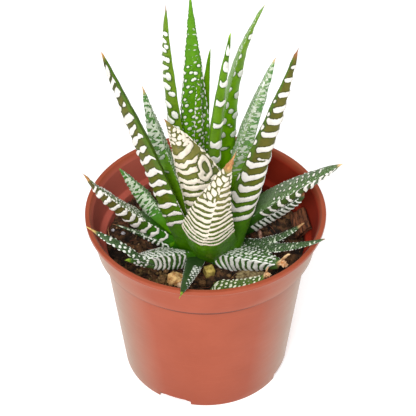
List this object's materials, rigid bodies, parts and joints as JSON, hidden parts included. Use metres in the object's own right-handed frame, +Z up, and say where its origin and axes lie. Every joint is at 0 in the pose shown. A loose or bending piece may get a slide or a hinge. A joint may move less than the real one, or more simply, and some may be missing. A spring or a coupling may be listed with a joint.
{
  "type": "potted haworthia",
  "caption": "Potted haworthia: a rosette of stiff pointed green leaves with raised white bands, in a round terracotta-coloured plastic pot filled with dark soil.",
  "frame": {"origin": "on the pot's axis, at the flat underside of the pot's central floor disc, which is the plane the pot stands on", "axes": "+Z up along the pot's axis, -Y towards the front, where the short broad leaf stands"},
  "size_m": [0.0942, 0.1021, 0.168],
  "materials": {
    "pot": "smooth moulded terracotta-coloured plastic, satin",
    "soil": "dark damp peat soil with fibres and crumbs, dull",
    "stem": "pale green fleshy stem, dull",
    "leaf_green": "waxy green succulent leaf with raised white bands, satin",
    "leaf_grey_green": "waxy grey-green succulent leaf with raised white bands and dots, satin",
    "stone": "rough tan stone, dull",
    "bark": "ribbed brown bark, dull"
  },
  "bodies": {
    "root": {"pot": "pot", "soil": "soil", "stem": "stem", "leaf_01": "leaf_grey_green", "leaf_02": "leaf_green", "leaf_03": "leaf_green", "leaf_04": "leaf_grey_green", "leaf_05": "leaf_grey_green", "leaf_06": "leaf_grey_green", "leaf_07": "leaf_grey_green", "leaf_08": "leaf_green", "leaf_09": "leaf_grey_green", "leaf_10": "leaf_grey_green", "leaf_11": "leaf_green", "leaf_12": "leaf_grey_green", "leaf_13": "leaf_grey_green", "leaf_14": "leaf_green", "leaf_15": "leaf_green", "leaf_16": "leaf_green", "leaf_17": "leaf_green", "leaf_18": "leaf_green", "leaf_19": "leaf_green", "leaf_20": "leaf_green", "leaf_21": "leaf_grey_green", "leaf_22": "leaf_grey_green", "leaf_23": "leaf_green", "leaf_24": "leaf_green", "leaf_25": "leaf_green", "leaf_26": "leaf_green", "leaf_27": "leaf_green", "leaf_28": "leaf_green", "leaf_offset": "leaf_green", "stone_tan": "stone", "stone_small": "stone", "stone_block": "stone", "stone_flat": "stone", "bark_chip": "bark"}
  },
  "joints": []
}
